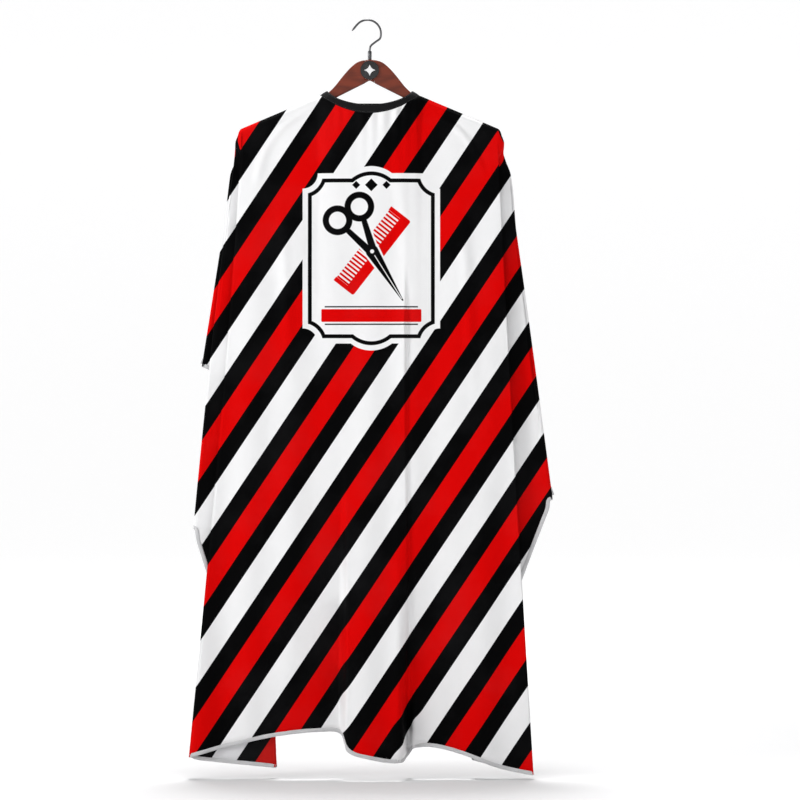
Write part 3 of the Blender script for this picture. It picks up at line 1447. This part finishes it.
class CAPE_OT_trim(bpy.types.Operator):
    """Builds the neckband, the nape tab and the snaps"""

    bl_idname = "cape.trim"
    bl_label = "Neckband and Snaps"

    def execute(self, context):
        trim = context.scene.cape_trim
        materials = {
            "band": band_material("Black knit"),
            "dark_thread": thread_material("Black thread", (0.012, 0.012, 0.013), 0.1),
            "nickel": metal_material("Nickel", (0.60, 0.58, 0.55), 0.20),
        }
        band, band_seams = build_band(trim, materials)
        tab, tab_seams = build_tab(trim, materials)
        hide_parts("neckband")
        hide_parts("nape_tab")
        for piece in (band, band_seams):
            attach(piece, "cape")
        for piece in (tab, tab_seams):
            y, z = (TAB_LOW.y + TAB_HIGH.y) / 2, (TAB_LOW.z + TAB_HIGH.z) / 2
            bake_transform(piece, "cape", "nape_tab", start=(31 * MM, y, z), end=(24 * MM, y, z))
        metal = [materials["nickel"]]
        knob = [(0, 0), (4.4, 0), (4.4, 0.5), (4.0, 0.7), (1.7, 0.8), (1.45, 1.1), (1.45, 1.7),
                (1.9, 2.1), (1.9, 2.4), (1.5, 2.75), (0, 2.8)]
        foot = [(0, 0), (2.6, 0), (2.7, 0.25), (3.3, 0.3), (3.4, 0), (4.0, 0), (4.2, 0.2), (4.2, 0.6),
                (3.9, 0.8), (0, 0.8)]
        ring = [(2.2, 0.2), (2.4, 0), (4.5, 0), (4.8, 0.3), (4.8, 1.5), (4.5, 1.9), (3.4, 2.0),
                (3.2, 1.6), (2.7, 1.6), (2.5, 2.0), (2.3, 1.9), (2.2, 1.6), (2.2, 0.2)]
        dome = [(0, 0), (5.1, 0), (5.4, 0.25), (5.4, 0.5), (5.1, 0.8), (4.5, 0.85), (4.3, 1.05),
                (3.4, 1.4), (2.0, 1.62), (0.8, 1.69), (0, 1.7)]
        for number in (1, 2, 3):
            for kind, profile in (("stud", knob), ("post", foot)):
                node = f"snap_{kind}_{number}"
                piece = snap_part(f"{kind}_{number}", node, profile, metal)
                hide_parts(node)
                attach(piece, "cape")
        for number in (1, 2):
            for kind, profile in (("socket", ring), ("cap", dome)):
                node = f"snap_{kind}_{number}"
                piece = snap_part(f"{kind}_{number}", node, profile, metal)
                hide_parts(node)
                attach(piece, "nape_tab")
        return {"FINISHED"}


class CAPE_OT_hanger(bpy.types.Operator):
    """Builds the wooden arms, the badge, the ferrule and the hook"""

    bl_idname = "cape.hanger"
    bl_label = "Hanger"

    def execute(self, context):
        settings = context.scene.cape_hanger
        chrome = metal_material("Hook steel", (0.115, 0.115, 0.12), 0.22)
        black = plastic_material("Badge gloss black", (0.006, 0.006, 0.007), 0.16)
        white = plastic_material("Badge white", (0.82, 0.82, 0.83), 0.4)
        foam = plastic_material("Badge pad", (0.30, 0.30, 0.30), 0.8)
        for side, node in ((-1, "hanger_arm_left"), (1, "hanger_arm_right")):
            wood = wood_material("Stained wood " + node[-5:].strip("_"), settings.wood, side)
            arm = build_arm("hanger_wood_" + ("left" if side < 0 else "right"), node, wood, settings)
            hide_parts(node)
            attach(arm, "hanger")
        wire = build_hook(settings, chrome)
        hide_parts("hook")
        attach(wire, "hook")
        low, high = FERRULE_LOW, FERRULE_HIGH
        radius, tall = (high.x - low.x) / 2 / MM, (high.z - low.z) / MM
        bore = settings.wire / MM + 0.25
        sleeve = [(bore, 0.2), (radius - 0.5, 0), (radius, 0.5), (radius, 2.2), (radius - 0.35, 2.6),
                  (radius - 0.35, 3.4), (radius, 3.8), (radius, tall - 1.4), (radius - 0.5, tall - 0.4),
                  (radius - 1.1, tall), (bore, tall), (bore, 0.2)]
        middle = Vector(((low.x + high.x) / 2, (low.y + high.y) / 2, low.z))
        sleeve = [(r * MM, h * MM) for r, h in sleeve]
        collar = turned("ferrule", sleeve, middle, (0, 0, 1), [chrome], 40)
        creased(collar, 40)
        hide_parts("hook_ferrule")
        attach(collar, "hanger")
        low, high = BADGE_LOW, BADGE_HIGH
        radius, thick = (high.x - low.x) / 2 / MM, (high.y - low.y) / MM
        disc_profile = [(0, 0), (radius - 0.5, 0), (radius, 0.4), (radius, thick - 0.7),
                        (radius - 0.3, thick - 0.2), (radius - 0.9, thick), (radius - 1.5, thick - 0.1),
                        (radius - 1.9, thick - 0.02), (0, thick)]
        middle = Vector(((low.x + high.x) / 2, high.y, (low.z + high.z) / 2))
        disc_profile = [(r * MM, h * MM) for r, h in disc_profile]
        badge = turned("badge", disc_profile, middle, (0, -1, 0), [black], 72)
        creased(badge, 30)
        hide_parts("badge_disc")
        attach(badge, "hanger")
        for node, material, slot in (
            ("badge_pad", foam, "badge_pad"),
            ("badge_emblem", white, "badge_white"),
            ("hook_washer", chrome, "hook_chrome"),
            ("hook_nut", chrome, "hook_chrome"),
        ):
            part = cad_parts[node]
            part.data.materials.clear()
            part.data.materials.append(material)
        return {"FINISHED"}


class CAPE_OT_stage(bpy.types.Operator):
    """Builds the pale floor and backdrop, the soft lights and the camera"""

    bl_idname = "cape.stage"
    bl_label = "Stage"

    def execute(self, context):
        settings = context.scene.cape_stage
        scene = context.scene
        floor = CAD_BOX[0].z - settings.floor_gap
        profile = [(0.25, 0.0), (0.6, 0.0), (1.2, 0.0), (2.4, 0.0), (4.8, 0.0), (8.0, 0.0)]
        for k in range(1, 13):
            a = math.pi / 2 * k / 12
            profile.append((8.0 + 2.0 * math.sin(a), 2.0 * (1 - math.cos(a))))
        profile.append((10.0, 5.0))
        sides = 96
        vertices, faces = [(0.0, 0.0, floor)], []
        for radius, rise in profile:
            for k in range(sides):
                a = 2 * math.pi * k / sides
                vertices.append((radius * math.cos(a), radius * math.sin(a), floor + rise))
        for k in range(sides):
            n = (k + 1) % sides
            faces.append((0, 1 + k, 1 + n))
            for j in range(len(profile) - 1):
                low, high = 1 + j * sides, 1 + (j + 1) * sides
                faces.append((low + k, high + k, high + n, low + n))
        tree = Tree("Paper backdrop")
        x, y, z = tree.split(tree.place())
        away = (length_of(x, y) * 0.45 - 0.5).clamped()
        away = (away * away * (3.0 - away * 2.0)) * settings.glow
        grain = tree.noise(tree.place(), 30.0, 3.0)
        glow = tree.add("ShaderNodeCombineColor", None, Red=away, Green=away, Blue=away).outputs[0]
        tree.shader.inputs["Emission Strength"].default_value = 1.0
        paper = tree.finish(
            Base_Color=tree.mix(grain * 0.06, tuple(settings.paper), (0.36, 0.36, 0.36)),
            Emission_Color=glow,
            Roughness=0.9,
        )
        backdrop = new_object("backdrop", vertices, faces, [paper])
        paper_only = bpy.data.collections.new("paper only")
        paper_only.objects.link(backdrop)
        for name, place, aim, size, watts in (
            ("key", (-3.6, -2.3, 1.2), (0, 0, -0.65), 1.2, 92.0),
            ("top front", (0.1, -1.1, 3.2), (0, 0, -1.3), 1.6, 24.0),
            ("top back", (-0.1, 1.1, 3.2), (0, 0, -1.3), 1.2, 150.0),
            ("rear", (1.8, 4.2, 1.4), (0, 0, -0.7), 2.4, 30.0),
            ("floor back", (0.0, 0.6, 3.2), (0, 0, -1.3), 1.2, 170.0),
            ("floor front", (0.0, -0.5, 3.2), (0, 0, -1.3), 1.2, 190.0),
        ):
            lamp = bpy.data.lights.new(name, "AREA")
            lamp.shape = "DISK"
            lamp.size = size
            lamp.energy = watts
            light = bpy.data.objects.new(name, lamp)
            light.location = place
            light.rotation_euler = (Vector(aim) - Vector(place)).to_track_quat("-Z", "Y").to_euler()
            scene.collection.objects.link(light)
            if name.startswith("floor"):
                light.light_linking.receiver_collection = paper_only
        world = bpy.data.worlds.new("Studio")
        world.use_nodes = True
        sky = world.node_tree.nodes["Background"]
        sky.inputs["Color"].default_value = (1.0, 1.0, 1.0, 1.0)
        sky.inputs["Strength"].default_value = 0.16
        scene.world = world
        camera = bpy.data.cameras.new("camera")
        camera.sensor_width = 36.0
        camera.lens = 36.0 * settings.distance / settings.view_width
        viewer = bpy.data.objects.new("camera", camera)
        viewer.location = (52 * MM, -settings.distance, -652 * MM)
        viewer.rotation_euler = (math.radians(90), 0, 0)
        scene.collection.objects.link(viewer)
        scene.camera = viewer
        scene.view_settings.view_transform = "Standard"
        return {"FINISHED"}


class CAPE_PT_panel(bpy.types.Panel):
    bl_label = "Barber Cape"
    bl_idname = "CAPE_PT_panel"
    bl_space_type = "VIEW_3D"
    bl_region_type = "UI"
    bl_category = "Cape"

    def draw(self, context):
        for group, operator in STEPS:
            box = self.layout.box()
            settings = getattr(context.scene, group)
            for name in settings.__annotations__:
                box.prop(settings, name)
            box.operator(operator.bl_idname)


STEPS = [
    ("cape_cloth", CAPE_OT_cloth),
    ("cape_trim", CAPE_OT_trim),
    ("cape_hanger", CAPE_OT_hanger),
    ("cape_stage", CAPE_OT_stage),
]
GROUPS = {
    "cape_cloth": CapeSettings,
    "cape_trim": TrimSettings,
    "cape_hanger": HangerSettings,
    "cape_stage": StageSettings,
}


def register():
    for name, group in GROUPS.items():
        bpy.utils.register_class(group)
        setattr(bpy.types.Scene, name, PointerProperty(type=group))
    for _, operator in STEPS:
        bpy.utils.register_class(operator)
    bpy.utils.register_class(CAPE_PT_panel)


def unregister():
    bpy.utils.unregister_class(CAPE_PT_panel)
    for _, operator in STEPS:
        bpy.utils.unregister_class(operator)
    for name, group in GROUPS.items():
        delattr(bpy.types.Scene, name)
        bpy.utils.unregister_class(group)


def main():
    register()
    bpy.ops.cape.hanger()
    bpy.ops.cape.cloth()
    bpy.ops.cape.trim()
    bpy.ops.cape.stage()


if __name__ == "__main__":
    main()
